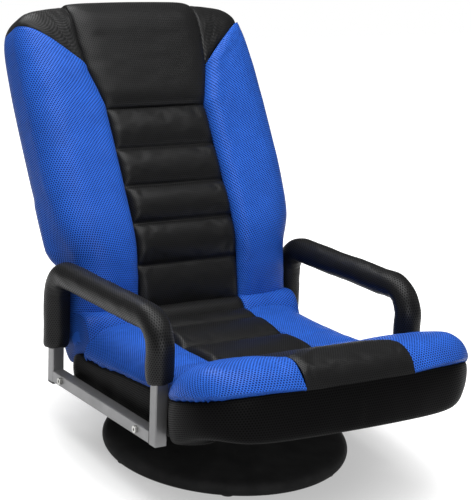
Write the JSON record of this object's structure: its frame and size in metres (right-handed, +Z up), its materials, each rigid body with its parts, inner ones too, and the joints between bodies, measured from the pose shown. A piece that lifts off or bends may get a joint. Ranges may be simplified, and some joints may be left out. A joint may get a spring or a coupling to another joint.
{
  "type": "floor gaming chair",
  "caption": "Low floor gaming chair with a swivel disc base, padded loop armrests, a channelled seat and a ratchet-hinged reclining back.",
  "frame": {"origin": "on the floor, on the swivel axis", "axes": "+Z up along the swivel axis, -Y to the front where the sitter faces, +X to the right as seen from the front"},
  "size_m": [0.6199, 1.0724, 0.8443],
  "materials": {
    "foot_rubber": "matte black rubber",
    "frame_steel": "black powder coat",
    "zinc_steel": "zinc plated",
    "cage_plastic": "moulded black plastic",
    "arm_paint": "satin silver-grey paint",
    "black_cloth": "plain woven black cloth",
    "black_mesh": "black spacer mesh",
    "blue_mesh": "royal blue spacer mesh",
    "webbing": "elastic webbing"
  },
  "bodies": {
    "base": {"base_feet": "foot_rubber", "base_ring": "frame_steel", "base_cross": "frame_steel", "base_hub_plate": "frame_steel", "swivel_lower_plate": "zinc_steel", "king_pin": "zinc_steel", "hub_screws": "zinc_steel", "base_cover": "black_cloth"},
    "bearing": {"ball_cage": "cage_plastic", "swivel_balls": "zinc_steel"},
    "seat": {"swivel_upper_plate": "zinc_steel", "flange_screws": "zinc_steel", "swivel_column": "frame_steel", "column_bolts": "zinc_steel", "seat_side_rail_left": "frame_steel", "seat_side_rail_right": "frame_steel", "seat_front_rail": "frame_steel", "seat_front_bow": "frame_steel", "seat_cross_rail_front": "frame_steel", "seat_cross_rail_rear": "frame_steel", "seat_rear_rail": "frame_steel", "seat_webbing": "webbing", "seat_boxing": "black_cloth", "seat_dust_cover": "black_cloth", "seat_pad": "black_mesh", "seat_side_pad_left": "blue_mesh", "seat_side_pad_right": "blue_mesh", "arm_frame_left": "arm_paint", "arm_frame_right": "arm_paint", "arm_plug_left": "cage_plastic", "arm_plug_right": "cage_plastic", "arm_lower_tube_left": "arm_paint", "arm_lower_tube_right": "arm_paint", "arm_sleeve_left": "black_mesh", "arm_sleeve_right": "black_mesh", "arm_bolts_left": "zinc_steel", "arm_bolts_right": "zinc_steel", "arm_spacers_left": "zinc_steel", "arm_spacers_right": "zinc_steel", "hinge_seat_leaf_left": "zinc_steel", "hinge_seat_leaf_right": "zinc_steel", "hinge_pin_left": "zinc_steel", "hinge_pin_right": "zinc_steel", "hinge_pawl_pin_left": "zinc_steel", "hinge_pawl_pin_right": "zinc_steel", "crease_gusset": "black_cloth"},
    "backrest": {"back_pad": "black_mesh", "back_bolster_left": "blue_mesh", "back_bolster_right": "blue_mesh", "head_pillow": "black_mesh", "back_yoke": "black_mesh", "back_rear_pad": "black_cloth", "back_frame": "frame_steel", "back_cross_bars": "frame_steel", "back_webbing": "webbing", "hinge_back_leaf_left": "zinc_steel", "hinge_back_leaf_right": "zinc_steel"},
    "pawl_left": {"hinge_pawl_left": "zinc_steel"},
    "pawl_right": {"hinge_pawl_right": "zinc_steel"}
  },
  "joints": [
    {"name": "swivel", "type": "hinge", "parent": "base", "child": "seat", "pos_m": [0, 0, 0.033], "axis": [0, 0, 1], "continuous": true},
    {"name": "cage_turn", "type": "hinge", "parent": "base", "child": "bearing", "pos_m": [0, 0, 0.033], "axis": [0, 0, 1], "continuous": true},
    {"name": "recline", "type": "hinge", "parent": "seat", "child": "backrest", "pos_m": [0, 0.17702, 0.21346], "axis": [-1, 0, 0], "range_deg": [-45, 45], "deforming": ["crease_gusset"]},
    {"name": "pawl_lift_left", "type": "hinge", "parent": "seat", "child": "pawl_left", "pos_m": [-0.2385, 0.14627, 0.18192], "axis": [-1, 0, 0], "range_deg": [0, 12], "stiffness_Nm_per_rad": 0.05, "springref_deg": -11.46},
    {"name": "pawl_lift_right", "type": "hinge", "parent": "seat", "child": "pawl_right", "pos_m": [0.2385, 0.14627, 0.18192], "axis": [-1, 0, 0], "range_deg": [0, 12], "stiffness_Nm_per_rad": 0.05, "springref_deg": -11.46}
  ],
  "couplings": [
    {"joint": "cage_turn", "follows": "swivel", "ratio": 0.5}
  ]
}
